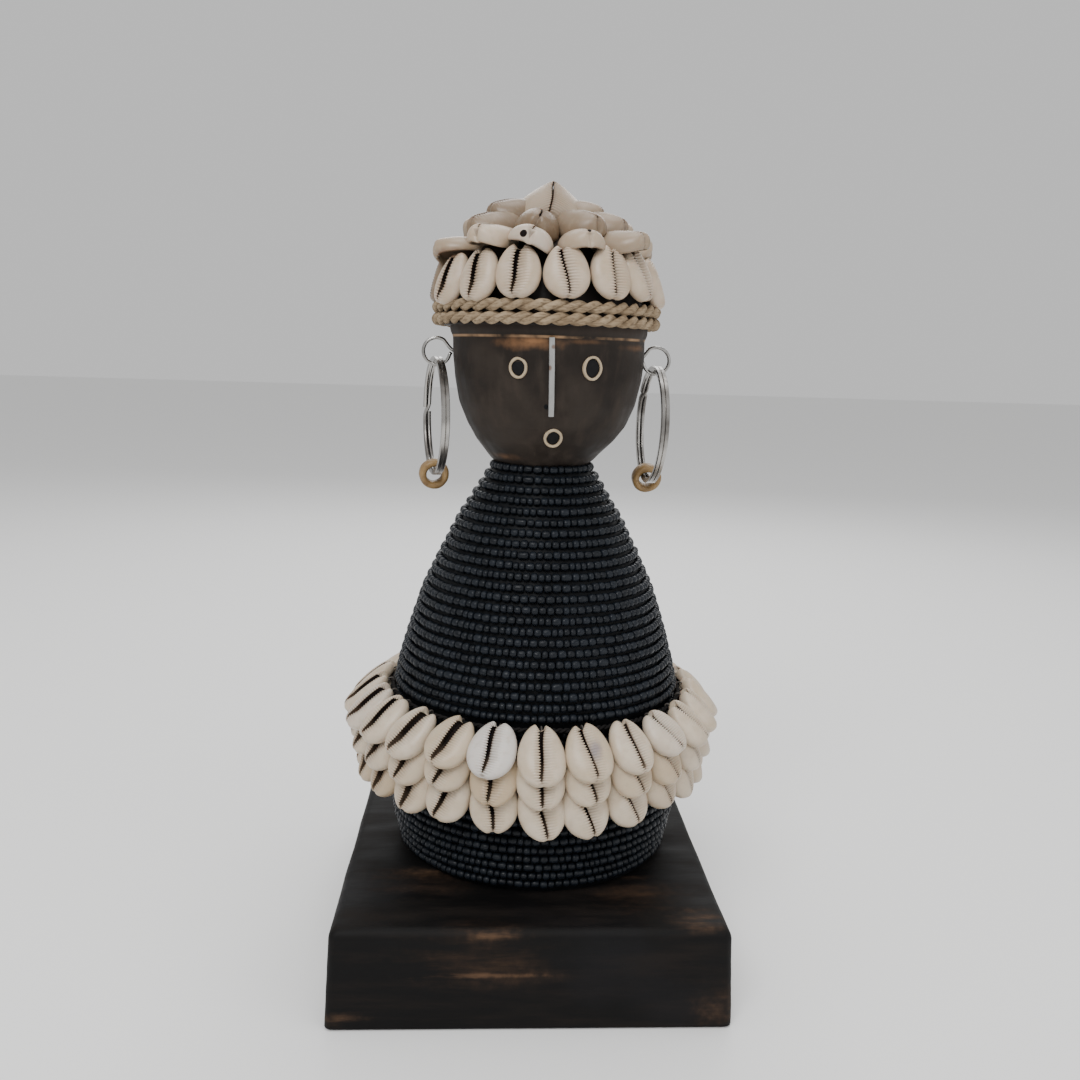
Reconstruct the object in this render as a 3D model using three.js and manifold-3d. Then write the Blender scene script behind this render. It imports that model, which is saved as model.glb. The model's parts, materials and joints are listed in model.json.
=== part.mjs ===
// Fertility doll: a carved head and body wrapped in glass beads, with a cap and a skirt of cut
// cowrie shells, two split-ring earrings and a wooden stand. Millimetres, +Z up, front is -Y.
// The origin is on the underside of the stand, straight below the axis of the doll.

import * as THREE from 'three';
import { mergeVertices } from 'three/addons/utils/BufferGeometryUtils.js';
import Module from 'manifold-3d';

const wasm = await Module();
wasm.setup();

// Stand
const BASE_WIDTH = 120;
const BASE_DEPTH = 137.4;
const BASE_HEIGHT = 29.1;
const BASE_CENTRE_X = -2.2;
const BASE_FLARE = 0.95;
const BASE_EDGE = 3;

// Doll
const GAP = 0.3;
const BODY_FACETS = 28;
const BEAD_DIAMETER = 2.9;
const NECK_Z = 162.6;
const CHIN_Z = 163.4;
const CAP_SEAT_Z = 206.2;
const CAP_SEAT_RADIUS = 30.6;

// Outer radius over the beads and radius of the bare head, as [radius, z] from the stand up
const LOWER_WRAP = [[46.6, 31.6], [48.9, 84.8]];
const UPPER_WRAP = [[49.1, 86.4], [46.1, 100], [39.7, 120], [28.15, 144], [16.9, NECK_Z]];
const HEAD = [
  [16.7, CHIN_Z],
  [23.2, 170],
  [26.5, 175],
  [29.3, 182],
  [31.2, 191.5],
  [31.9, 200],
  [31.7, 203],
];
const CAP = [[33.2, CAP_SEAT_Z], [31.4, 214], [29.6, 223], [26, 230], [18, 234.8], [6, 238.7]];
const BRIM_RADIUS = 33.3;
const BRIM_STEP = 0.9;
const BRIM_Z = 203.2;
const CROWN_RISE = 0.3;
const CAP_THICKNESS = 1.8;

// Screws that hold the doll on its stand
const SCREW_SPACING = 28;
const SCREW_RADIUS = 2.4;
const SCREW_HEAD_RADIUS = 4.2;
const SCREW_TOP_Z = 54;
const SCREW_RECESS = 1;
const SCREW_HEAD_HEIGHT = 3;

// Face
const EYES = [
  { side: 'left', azimuth: -18.3, z: 193.6, radius: 3.3 },
  { side: 'right', azimuth: 25.4, z: 193.9, radius: 3.7 },
];
const MOUTH = { azimuth: 3.9, z: 172.5, radius: 2.95, droop: 26 };
const RING_WALL = 1;
const RING_PROUD = 0.7;
const RING_LENGTH = 5;
const PUPIL_SINK = 0.5;
const NOSE_WIDTH = 1.7;
const NOSE_DEPTH = 4.5;
const NOSE_OUTLINE = [{ z: 203, proud: 1.2 }, { z: 191, proud: 1.3 }, { z: 179.3, proud: 1.7 }];
const CUT_CLEARANCE = 3;

// Earrings. A hoop's turn is about Z; a bead's slide is how far back it rests from the lowest point.
const EYELET_CENTRES = { left: [-37, 198.0], right: [37.2, 196.9] };
const EYELET_RADIUS = 4.4;
const EYELET_WIRE = 0.6;
const SHANK_RADIUS = 0.9;
const SHANK_END = 21;
const SHANK_HOLE = { radius: SHANK_RADIUS + GAP, end: SHANK_END - GAP, reach: 1.2 };
const HOOP_RADIUS = 18.75;
const HOOP_HALF_WIDTH = 1.15;
const HOOP_HALF_DEPTH = 0.95;
const HOOP_TURNS = { left: 12.4, right: 4 };
const BEAD_SLIDES = { left: 8, right: 20 };
const BEAD_OUTER_RADIUS = 5.1;
const BEAD_HOLE_RADIUS = 2.6;
const BEAD_HALF_LENGTH = 2.4;
const BEAD_DROP = 1.15;

// Rope round the cap
const ROPE_RADIUS = 1.85;
const ROPE_RING_RADIUS = 35.6;
const ROPE_HEIGHTS = { lower: 208.4, upper: 212.4 };

// Cowries: width, height of the domed face and depth of the cut back. The cap's are cut thinner.
const SHELL_WIDTH = 14;
const SHELL_SLIT = 1.1;
const THICK_CUT = { face: 3.4, back: 2.6 };
const THIN_CUT = { face: 2.6, back: 1.4 };

// Skirt: each strand is three shells, given by their upper and lower ends as [radius, z]
const STRANDS = 25;
const STRAND_TURN = -0.3;
const WAIST_CORD_RADIUS = 0.9;
const WAIST_CORD_RING = 50.1;
const WAIST_CORD_Z = 85;
const STRAND_SHELLS = [
  { top: [51.3, 87.6], bottom: [64.2, 72.4] },
  { top: [53.3, 81.6], bottom: [61.2, 63.3] },
  { top: [54, 72.8], bottom: [58.6, 53.2] },
];

// Tiers of shells on the cap. A hoop of cord runs through each tier. The crown is open at the front,
// where the top shell lies.
const TIERS = [
  {
    name: 'side', count: 15, open: 0, turn: 6.7,
    cut: THICK_CUT, top: [32, 229.6], bottom: [37.1, 215.3], cord: [34.5, 222.4],
  },
  {
    name: 'rim', count: 15, open: 0, turn: 14,
    cut: THIN_CUT, top: [21, 236.5], bottom: [37.3, 231], cord: [30, 233.4],
  },
  {
    name: 'upper', count: 10, open: 0, turn: -8,
    cut: THIN_CUT, top: [11, 243], bottom: [28.5, 237.4], cord: [19, 240.3],
  },
  {
    name: 'crown', count: 5, open: 1, turn: 0,
    cut: THIN_CUT, top: [3.4, 247.5], bottom: [19.8, 244.6], cord: [7.4, 245.8],
  },
];
const TOP_SHELL = { cut: THIN_CUT, top: [0, 251.4], bottom: [13, 246.4] };
const CORD_RADIUS = 0.8;

const AXIS_Z = new THREE.Vector3(0, 0, 1);

// A closed body through rings of points, each ring the same number of points, flat at both ends
function loft(rings) {
  const count = rings[0].length;
  const positions = rings.flat(2);
  const indices = [];
  for (let ring = 0; ring + 1 < rings.length; ring += 1) {
    for (let side = 0; side < count; side += 1) {
      const next = (side + 1) % count;
      const a = ring * count + side;
      const b = ring * count + next;
      indices.push(a, b, b + count, a, b + count, a + count);
    }
  }
  const last = (rings.length - 1) * count;
  for (let side = 1; side + 1 < count; side += 1) {
    indices.push(0, side + 1, side, last, last + side, last + side + 1);
  }
  const geometry = new THREE.BufferGeometry();
  geometry.setAttribute('position', new THREE.Float32BufferAttribute(positions, 3));
  geometry.setIndex(indices);
  return geometry;
}

// A closed body turned about Z from [radius, z] points that start and end on the axis, or that form
// a loop
function turned(profile, facets = BODY_FACETS) {
  const points = profile.map(([radius, z]) => new THREE.Vector2(radius, z));
  const geometry = new THREE.LatheGeometry(points, facets);
  geometry.rotateX(Math.PI / 2);
  return geometry;
}

function cylinder(radius, bottom, top, facets = 16) {
  return turned([[0, bottom], [radius, bottom], [radius, top], [0, top]], facets);
}

// A round bar bent into a ring about Z
function ring(radius, wire, z, facets, sides) {
  const section = [];
  for (let step = 0; step <= sides; step += 1) {
    const angle = (2 * Math.PI * (step % sides)) / sides;
    section.push([radius + wire * Math.cos(angle), z + wire * Math.sin(angle)]);
  }
  return turned(section, facets);
}

function solid(geometry) {
  const bare = geometry.clone();
  bare.deleteAttribute('normal');
  bare.deleteAttribute('uv');
  const merged = mergeVertices(bare, 1e-4);
  const mesh = new wasm.Mesh({
    numProp: 3,
    vertProperties: new Float32Array(merged.attributes.position.array),
    triVerts: new Uint32Array(merged.index.array),
  });
  mesh.merge();
  return new wasm.Manifold(mesh);
}

function geometryOf(manifold) {
  const mesh = manifold.getMesh();
  const geometry = new THREE.BufferGeometry();
  geometry.setAttribute('position', new THREE.BufferAttribute(mesh.vertProperties, 3));
  geometry.setIndex(new THREE.BufferAttribute(mesh.triVerts, 1));
  return geometry;
}

function joined(geometries) {
  return geometryOf(geometries.map(solid).reduce((whole, piece) => whole.add(piece)));
}

function cut(geometry, tools) {
  return geometryOf(tools.map(solid).reduce((whole, tool) => whole.subtract(tool), solid(geometry)));
}

function material(color, roughness, metalness = 0) {
  return new THREE.MeshStandardMaterial({ color, roughness, metalness });
}

const doll = new THREE.Group();

function addPiece(name, geometry, look, parent = doll) {
  const mesh = new THREE.Mesh(geometry, look);
  mesh.name = name;
  parent.add(mesh);
  return mesh;
}

// A cut cowrie: an egg outline, wide end at -Y, with a slit along its domed face (+Z) and a flat back
function cowrie(length, { face, back }) {
  const stations = [
    { along: -0.5, width: 0.36, depth: 0.35 },
    { along: -0.3, width: 0.94, depth: 0.92 },
    { along: 0.14, width: 0.94, depth: 0.94 },
    { along: 0.5, width: 0.3, depth: 0.3 },
  ];
  const rings = stations.map(({ along, width, depth }) => {
    const y = along * length;
    const half = (width * SHELL_WIDTH) / 2;
    return [
      [-half, y, 0],
      [0, y, -depth * back],
      [half, y, 0],
      [half * 0.4, y, depth * face],
      [0, y, depth * (face - SHELL_SLIT)],
      [-half * 0.4, y, depth * face],
    ];
  });
  return loft(rings.reverse());
}

// Turns a cowrie so that its ends lie at two [radius, z] points straight in front of the axis
function hungCowrie({ top, bottom, cut: thickness = THICK_CUT }) {
  const length = Math.hypot(bottom[0] - top[0], top[1] - bottom[1]);
  const lean = Math.atan2(bottom[0] - top[0], top[1] - bottom[1]);
  const geometry = cowrie(length, thickness);
  geometry.rotateX(Math.PI / 2);
  geometry.rotateX(-lean);
  geometry.translate(0, -(top[0] + bottom[0]) / 2, (top[1] + bottom[1]) / 2);
  return geometry;
}

function aroundAxis(geometry, degrees) {
  return geometry.clone().rotateZ(THREE.MathUtils.degToRad(degrees));
}

// Stand: a block with rounded corners and a softened top edge
function rectangleRing(halfX, halfY, corner, z) {
  const points = [];
  for (const [signX, signY, start] of [[1, -1, -90], [1, 1, 0], [-1, 1, 90], [-1, -1, 180]]) {
    for (const step of [0, 45, 90]) {
      const angle = THREE.MathUtils.degToRad(start + step);
      const x = BASE_CENTRE_X + signX * (halfX - corner) + corner * Math.cos(angle);
      points.push([x, signY * (halfY - corner) + corner * Math.sin(angle), z]);
    }
  }
  return points;
}

function standBlock() {
  const halfX = BASE_WIDTH / 2;
  const halfY = BASE_DEPTH / 2;
  const inset = BASE_EDGE * 0.3;
  return loft([
    rectangleRing(halfX + BASE_FLARE, halfY + BASE_FLARE, 2, 0),
    rectangleRing(halfX, halfY, 2, BASE_HEIGHT - BASE_EDGE),
    rectangleRing(halfX - inset, halfY - inset, 2, BASE_HEIGHT - inset),
    rectangleRing(halfX - BASE_EDGE, halfY - BASE_EDGE, 2, BASE_HEIGHT),
  ]);
}

function atScrew(geometry, side) {
  return geometry.clone().translate((side * SCREW_SPACING) / 2, 0, 0);
}

function screwHoles() {
  const seat = SCREW_RECESS + SCREW_HEAD_HEIGHT + GAP;
  const headHole = cylinder(SCREW_HEAD_RADIUS + GAP, -1, seat);
  const shankHole = cylinder(SCREW_RADIUS + GAP, 2, SCREW_TOP_Z + GAP);
  return [-1, 1].flatMap((side) => [atScrew(headHole, side), atScrew(shankHole, side)]);
}

function screw() {
  const seat = SCREW_RECESS + SCREW_HEAD_HEIGHT;
  return turned([
    [0, SCREW_RECESS],
    [SCREW_HEAD_RADIUS, SCREW_RECESS],
    [SCREW_HEAD_RADIUS, seat],
    [SCREW_RADIUS, seat],
    [SCREW_RADIUS, SCREW_TOP_Z - SCREW_RADIUS],
    [0, SCREW_TOP_Z],
  ], 16);
}

// Carved figure: the wood under the beads, the bare head with its brim, and the seat of the cap
function carvedProfile() {
  const wood = BEAD_DIAMETER + GAP;
  const bottomZ = BASE_HEIGHT + GAP;
  const lower = LOWER_WRAP.map(([radius, z]) => [radius - wood, z]);
  const upper = UPPER_WRAP.slice(1, -1).map(([radius, z]) => [radius - wood, z]);
  const neck = UPPER_WRAP.at(-1)[0] - wood;
  const cap = CAP.slice(1).map(([radius, z]) => [radius - CAP_THICKNESS - GAP, z - CAP_THICKNESS - GAP]);
  return [
    [0, bottomZ],
    [lower[0][0], bottomZ],
    ...lower,
    ...upper,
    [neck, NECK_Z],
    [neck, CHIN_Z],
    ...HEAD,
    [BRIM_RADIUS - BRIM_STEP, BRIM_Z],
    [BRIM_RADIUS, BRIM_Z + BRIM_STEP],
    [BRIM_RADIUS, CAP_SEAT_Z - GAP],
    [CAP_SEAT_RADIUS - GAP, CAP_SEAT_Z - GAP],
    ...cap,
    [0, cap.at(-1)[1] + CROWN_RISE],
  ];
}

function capHide() {
  const inside = CAP.slice(1).map(([radius, z]) => [radius - CAP_THICKNESS, z - CAP_THICKNESS]);
  return turned([
    [0, inside.at(-1)[1] + CROWN_RISE],
    ...inside.reverse(),
    [CAP_SEAT_RADIUS, CAP[0][1]],
    ...CAP,
    [0, CAP.at(-1)[1] + CROWN_RISE],
  ]);
}

// A sleeve of beads between an outer profile and the wood
function beadSleeve(wrap) {
  const inside = wrap.map(([radius, z]) => [radius - BEAD_DIAMETER, z]).reverse();
  return turned([...wrap, ...inside, wrap[0]]);
}

function headRadius(z) {
  const above = HEAD.findIndex(([, height]) => height >= z);
  const [lowRadius, lowZ] = HEAD[above - 1];
  const [highRadius, highZ] = HEAD[above];
  return lowRadius + ((highRadius - lowRadius) * (z - lowZ)) / (highZ - lowZ);
}

// Moves a geometry made about Z, facing +Z at z = 0, to the surface of the head, facing outwards
function onFace(geometry, { azimuth, z, droop = 0 }) {
  return geometry.clone()
    .rotateX(Math.PI / 2 + THREE.MathUtils.degToRad(droop))
    .translate(0, -headRadius(z), z)
    .rotateZ(THREE.MathUtils.degToRad(azimuth));
}

function faceRing(radius) {
  const inner = radius - RING_WALL;
  const back = RING_PROUD - RING_LENGTH;
  const section = [[inner, back], [radius, back], [radius, RING_PROUD], [inner, RING_PROUD]];
  return turned([...section, section[0]], 20);
}

function facePlug(radius) {
  return cylinder(radius - RING_WALL - GAP, RING_PROUD - RING_LENGTH, -PUPIL_SINK, 16);
}

function faceSocket(radius) {
  return cylinder(radius + GAP, RING_PROUD - RING_LENGTH - GAP, RING_PROUD + CUT_CLEARANCE, 20);
}

// The nose is a metal strip let into a saw cut. The margin and the clearance in front make the cut.
function nose(margin, clearance) {
  const half = NOSE_WIDTH / 2 + margin;
  const rings = NOSE_OUTLINE.map(({ z, proud }, index) => {
    const top = index === 0 ? margin : 0;
    const foot = index === NOSE_OUTLINE.length - 1 ? margin : 0;
    const height = z + top - foot;
    const front = -headRadius(z) - proud - clearance;
    const back = -headRadius(z) - proud + NOSE_DEPTH + margin;
    return [[-half, front, height], [half, front, height], [half, back, height], [-half, back, height]];
  });
  return loft(rings.reverse());
}

// Screw eye: a wire ring in the XZ plane with a shank that runs into the head
function screwEye([centreX, centreZ]) {
  const eye = ring(EYELET_RADIUS, EYELET_WIRE, 0, 20, 6).rotateX(Math.PI / 2);
  const shank = eyeShank([centreX, centreZ], SHANK_RADIUS, SHANK_END, EYELET_WIRE / 2);
  return joined([eye.translate(centreX, 0, centreZ), shank]);
}

// A rod from the inside of the head to a distance outside the middle of the eye's wire
function eyeShank([centreX, centreZ], radius, end, reach) {
  const side = Math.sign(centreX);
  const inner = side * end;
  const outer = centreX - side * (EYELET_RADIUS + EYELET_WIRE - reach);
  const shank = new THREE.CylinderGeometry(radius, radius, Math.abs(outer - inner), 8);
  return shank.rotateZ(Math.PI / 2).translate((inner + outer) / 2, 0, centreZ);
}

// The hoop stands in the YZ plane and rests on the lowest wire of its screw eye
function hoop() {
  const w = HOOP_HALF_WIDTH;
  const d = HOOP_HALF_DEPTH;
  const section = [[d, -w * 0.6], [d, w * 0.6], [0, w], [-d, w * 0.6], [-d, -w * 0.6], [0, -w], [d, -w * 0.6]];
  const profile = section.map(([radial, axial]) => [HOOP_RADIUS + radial, axial]);
  return turned(profile, 32).rotateY(Math.PI / 2);
}

function hoopBead() {
  const length = BEAD_HALF_LENGTH;
  const outer = BEAD_OUTER_RADIUS;
  const hole = BEAD_HOLE_RADIUS;
  return turned([
    [hole, -length * 0.7],
    [hole + 0.8, -length],
    [outer - 1.2, -length],
    [outer, 0],
    [outer - 1.2, length],
    [hole + 0.8, length],
    [hole, length * 0.7],
    [hole, -length * 0.7],
  ], 20).rotateX(Math.PI / 2);
}

// Shells of one cap tier, threaded on a hoop of cord
function tier({ count, open, turn, cord, ...place }) {
  const shell = hungCowrie(place);
  const shells = [];
  for (let index = open; index < count; index += 1) {
    shells.push(aroundAxis(shell, turn + (360 * index) / count));
  }
  const loop = ring(cord[0], CORD_RADIUS, cord[1], Math.max(count, 10), 4);
  return joined([aroundAxis(loop, turn), ...shells]);
}

const wood = material(0x2c2622, 0.6);
const stain = material(0x1d1815, 0.55);
const beads = material(0x10131a, 0.45);
const shellLook = material(0xd0c4b4, 0.4);
const cordLook = material(0x3b2c20, 0.9);
const rope = material(0xb09b7c, 0.9);
const reed = material(0xc3ae90, 0.6);
const pitch = material(0x17140f, 0.5);
const steel = material(0xb8b8b8, 0.3, 1);
const ochre = material(0xb58a4c, 0.55);

addPiece('base_block', cut(standBlock(), screwHoles()), stain);
const SIDES = [['left', -1], ['right', 1]];
for (const [name, side] of SIDES) {
  addPiece(`base_screw_${name}`, atScrew(screw(), side), steel);
}

const faceCuts = [...EYES, MOUTH].map((feature) => onFace(faceSocket(feature.radius), feature));
const eyeletCuts = SIDES.map(([name]) => {
  const { radius, end, reach } = SHANK_HOLE;
  return eyeShank(EYELET_CENTRES[name], radius, end, reach);
});
const figureCuts = [...screwHoles(), ...faceCuts, ...eyeletCuts, nose(GAP, CUT_CLEARANCE)];
addPiece('carved_figure', cut(turned(carvedProfile()), figureCuts), wood);
addPiece('bead_winding_lower', beadSleeve(LOWER_WRAP), beads);
addPiece('bead_winding_upper', beadSleeve(UPPER_WRAP), beads);
addPiece('waist_cord', ring(WAIST_CORD_RING, WAIST_CORD_RADIUS, WAIST_CORD_Z, BODY_FACETS, 5), cordLook);

for (const { side, ...feature } of EYES) {
  addPiece(`eye_ring_${side}`, onFace(faceRing(feature.radius), feature), reed);
  addPiece(`pupil_${side}`, onFace(facePlug(feature.radius), feature), pitch);
}
addPiece('mouth_ring', onFace(faceRing(MOUTH.radius), MOUTH), reed);
addPiece('mouth_plug', onFace(facePlug(MOUTH.radius), MOUTH), pitch);
addPiece('nose_strip', nose(0, 0), steel);

for (const [name] of SIDES) {
  const [centreX, centreZ] = EYELET_CENTRES[name];
  addPiece(`screw_eye_${name}`, screwEye(EYELET_CENTRES[name]), steel);
  const earring = new THREE.Group();
  const rest = centreZ - EYELET_RADIUS + EYELET_WIRE + GAP;
  earring.position.set(centreX, 0, rest + HOOP_HALF_DEPTH - HOOP_RADIUS);
  earring.setRotationFromAxisAngle(AXIS_Z, THREE.MathUtils.degToRad(HOOP_TURNS[name]));
  addPiece(`hoop_${name}`, hoop(), steel, earring);
  const bead = hoopBead().translate(0, 0, -HOOP_RADIUS - BEAD_DROP);
  bead.rotateX(THREE.MathUtils.degToRad(BEAD_SLIDES[name]));
  addPiece(`hoop_bead_${name}`, bead, ochre, earring);
  doll.add(earring);
}

addPiece('cap_hide', capHide(), cordLook);
for (const [name, height] of Object.entries(ROPE_HEIGHTS)) {
  addPiece(`rope_turn_${name}`, ring(ROPE_RING_RADIUS, ROPE_RADIUS, height, BODY_FACETS, 6), rope);
}
for (const shells of TIERS) {
  addPiece(`cap_${shells.name}_shells`, tier(shells), shellLook);
}
addPiece('cap_top_shell', hungCowrie(TOP_SHELL), shellLook);

const strand = joined(STRAND_SHELLS.map(hungCowrie));
for (let index = 0; index < STRANDS; index += 1) {
  const name = `skirt_strand_${String(index + 1).padStart(2, '0')}`;
  const mesh = addPiece(name, strand.clone(), shellLook);
  mesh.rotation.z = THREE.MathUtils.degToRad(STRAND_TURN + (360 * index) / STRANDS);
}

export default doll;
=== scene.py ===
"""Looks for the fertility doll: shells, beads, rope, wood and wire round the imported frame.

Lengths are in millimetres until a mesh is made, which turns them into metres. The front is -Y.
"""

import json
import math
import random

import bpy
import numpy as np
from mathutils import Matrix, Vector, noise

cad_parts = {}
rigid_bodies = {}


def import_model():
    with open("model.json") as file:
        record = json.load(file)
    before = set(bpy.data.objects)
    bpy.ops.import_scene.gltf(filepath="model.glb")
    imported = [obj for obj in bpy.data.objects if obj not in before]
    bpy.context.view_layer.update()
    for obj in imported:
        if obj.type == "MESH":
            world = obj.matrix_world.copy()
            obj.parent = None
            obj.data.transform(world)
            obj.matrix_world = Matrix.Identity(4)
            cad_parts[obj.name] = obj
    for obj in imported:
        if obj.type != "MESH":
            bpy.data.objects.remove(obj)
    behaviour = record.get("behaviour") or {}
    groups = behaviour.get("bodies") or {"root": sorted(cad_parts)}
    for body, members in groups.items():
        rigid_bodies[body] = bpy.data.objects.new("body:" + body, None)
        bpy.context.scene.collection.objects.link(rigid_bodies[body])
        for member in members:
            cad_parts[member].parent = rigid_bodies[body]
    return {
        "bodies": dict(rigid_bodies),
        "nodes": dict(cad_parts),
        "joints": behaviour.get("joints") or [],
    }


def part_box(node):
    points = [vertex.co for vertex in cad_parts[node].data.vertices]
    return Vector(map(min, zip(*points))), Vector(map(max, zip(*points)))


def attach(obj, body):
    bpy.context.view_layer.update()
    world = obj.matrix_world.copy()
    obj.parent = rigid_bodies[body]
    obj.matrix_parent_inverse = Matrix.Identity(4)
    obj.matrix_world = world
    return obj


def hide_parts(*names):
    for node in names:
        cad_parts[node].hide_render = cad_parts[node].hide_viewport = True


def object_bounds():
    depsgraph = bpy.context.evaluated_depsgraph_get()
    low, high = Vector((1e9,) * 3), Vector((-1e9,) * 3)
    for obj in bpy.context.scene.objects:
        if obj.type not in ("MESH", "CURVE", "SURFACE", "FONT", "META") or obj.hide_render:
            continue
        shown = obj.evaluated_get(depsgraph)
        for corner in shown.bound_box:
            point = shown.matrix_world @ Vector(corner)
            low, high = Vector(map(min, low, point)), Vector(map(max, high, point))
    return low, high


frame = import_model()
cad_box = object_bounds()

MM = 0.001
JOINTS = {joint["name"]: joint for joint in frame["joints"]}
rng = random.Random(11)

# Camera
CAMERA_PLACE = (-17.5, -350.6, 197.1)
CAMERA_YAW = 2.88
CAMERA_PITCH = 9.98
CAMERA_ROLL = -1.69
CAMERA_LENS = 34.67

# (height, radius) of the body over its beads, of the bare wood of the head, and of the cap's skin
BODY_OVER_BEADS = ((31, 46.8), (38, 48.4), (47, 50.1), (57, 50.9), (68, 50.7), (78, 49.6), (84, 49.0),
                   (86, 49.2), (88, 49.06), (96, 47.2), (108, 43.7), (120, 39.7), (132, 34.1), (144, 28.15),
                   (154, 21.8), (161, 17.7), (164, 15.8))
HEAD_OUTLINE = ((162.6, 16.2), (163.4, 17.2), (166, 19.5), (170, 23.2), (175, 26.5), (182, 29.3),
                (190, 30.95), (197, 31.6), (202, 31.6), (203.2, 31.6), (204.4, 32.3), (205.2, 32.5),
                (213, 32.4))
CAP_OUTLINE = ((206.5, 33.0), (214, 31.4), (223, 29.6), (230, 26), (234.8, 18), (238.7, 6))
CAP_TOP_Z = 239
CHIN_Z = 162.6
# The head sits a little towards +X of the body, a step made over a short height above the chin
HEAD_SHIFT = 1.2
HEAD_SHIFT_RISE = 14

# Seed beads
BEAD_DIAMETER = 2.8
BEAD_SPACING = 2.52
UPPER_ROWS = 24
UPPER_TOP_Z = 161.1
UPPER_BOTTOM_Z = 88.05
LOWER_ROWS = 17
LOWER_TOP_Z = 83.2
LOWER_BOTTOM_Z = 32.9
# The wooden core comes this far in from the outside of the beads
CORE_DEPTH = BEAD_DIAMETER - 0.5

# Cowries. A mesh has a row for each step of the length, and columns across each lip, closer together
# beside the slit. A cut back is (scale of the outline, height, painted shade) from the rim to the hollow.
SHELL_LENGTH = 20
SHELL_WIDTH = 15.2
SHELL_TEETH = 23
SHELL_VARIANTS = 12
SHELL_ROWS = 104
LIP_COLUMNS = np.array([0, 0.035, 0.09, 0.17, 0.28, 0.42, 0.58, 0.74, 0.87, 0.96, 1.0])
THICK_CUT = ((1.0, -0.6, 0.0), (0.97, -1.5, 0.0), (0.90, -2.3, 0.15), (0.86, -2.6, 0.4), (0.76, -2.5, 0.5),
             (0.73, -0.6, 1.0))
THIN_CUT = ((1.0, -0.4, 0.0), (0.99, -0.9, 0.0), (0.965, -1.4, 0.1), (0.94, -1.6, 0.35), (0.84, -1.5, 0.45),
            (0.81, 0.0, 1.0))

# Upper and lower ends of the three shells of a strand, as (radius, height)
STRAND_ENDS = (
    ((51.4, 87.8), (64.0, 73.0)),
    ((53.0, 82.2), (61.3, 63.2)),
    ((53.6, 73.2), (58.8, 53.3)),
)
# The skirt hangs a little towards -X
SKIRT_SHIFT = 1.3
# The strands seen in front, by azimuth: how far the lower ends of their three shells are lifted, how
# far each shell is turned in its own plane, and the tint of each. Where it says None, chance decides.
STRANDS_SEEN = {
    -57: ((2.0, 2.4, 2.4), (-12, -12, -8), None),
    -43: ((1.5, 2.3, 1.8), (-15, -17, -8), (0.82, 0.3, 0.3)),
    -29: ((2.6, 4.0, 3.2), (-13, -18, -15), (0.25, 0.3, 0.6)),
    -14: ((1.5, 1.6, 1.6), (-8, -3, 4), (0.92, 0.05, 0.35)),
    0: ((0, 0.8, 0), (4, 8, 11), (0.38, 0.75, 0.6)),
    14: ((0.8, 1.3, 0), (3, 7, 12), (0.3, 0.3, 0.6)),
    29: ((0.4, 2.3, 1.8), (6, 12, 15), (0.45, 0.25, 0.5)),
    43: ((3.4, 2.6, 3.8), (13, 14, 14), (0.84, 0.15, 0.3)),
    58: ((2.0, 2.4, 2.4), (12, 12, 10), None),
}
STRAND_UNSEEN = ((2.0, 2.4, 2.4), None, None)
# A strand takes the row of the nearest azimuth above when it is closer than this
STRAND_REACH = 7

# Rope and cord rings
WAIST_CORD_RADIUS = 49.4
WAIST_CORD_Z = 85.0
ROPE_RADIUS = 35.6
ROPE_HEIGHTS = {"lower": 208.35, "upper": 212.25}

# Face: (azimuth, height, half width, half height) of each ring of reed, and its downward tilt
EYES = {"left": (-20.0, 193.7, 2.95, 3.25), "right": (22.3, 194.1, 3.3, 3.7)}
EYE_TILT = 2
EYE_WALL = 0.8
MOUTH = (2.6, 172.3, 2.95, 3.4)
MOUTH_TILT = 30
MOUTH_WALL = 0.85

# Earrings. The left one hangs closer to the head than the right one, and the lowest part of the right
# one leans towards -X.
EAR_SHIFT = {"left": 1.1, "right": 0.0}
RING_LEAN = {"left": 0.0, "right": 0.8}
RING_RADIUS = 18.75
# Where the two coils of a ring cross over, in degrees up from its front
RING_CROSSING = {"left": 176, "right": 148}
EYE_WIRE_RADIUS = 0.6


# ---- meshes

def add_object(name, data):
    """Puts a new object in the scene."""
    made = bpy.data.objects.new(name, data)
    bpy.context.collection.objects.link(made)
    return made


def add_piece(name, verts, faces, body, nodes, material, detail=None, sharp=None):
    """Makes a smooth mesh in metres that rides on a body and stands for CAD nodes."""
    mesh = bpy.data.meshes.new(name)
    mesh.from_pydata((np.asarray(verts, float) * MM).tolist(), [], faces)
    mesh.validate()
    mesh.shade_smooth()
    if sharp:
        mesh.set_sharp_from_angle(angle=math.radians(sharp))
    if detail is not None:
        layer = mesh.color_attributes.new("detail", "FLOAT_COLOR", "POINT")
        layer.data.foreach_set("color", np.asarray(detail, np.float32).ravel())
    mesh.materials.append(material)
    piece = add_object(name, mesh)
    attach(piece, body)
    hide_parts(*nodes)


def grid_faces(rows, columns, wrap_rows=False, wrap_columns=False):
    """The four-sided faces of a grid of points stored row by row."""
    faces = []
    for row in range(rows if wrap_rows else rows - 1):
        above = (row + 1) % rows
        for column in range(columns if wrap_columns else columns - 1):
            after = (column + 1) % columns
            faces.append((row * columns + column, row * columns + after,
                          above * columns + after, above * columns + column))
    return faces


def end_faces(rows, columns):
    """The two flat faces that close the first and the last row of a tube."""
    last = (rows - 1) * columns
    return [tuple(range(columns))[::-1], tuple(last + index for index in range(columns))]


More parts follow.
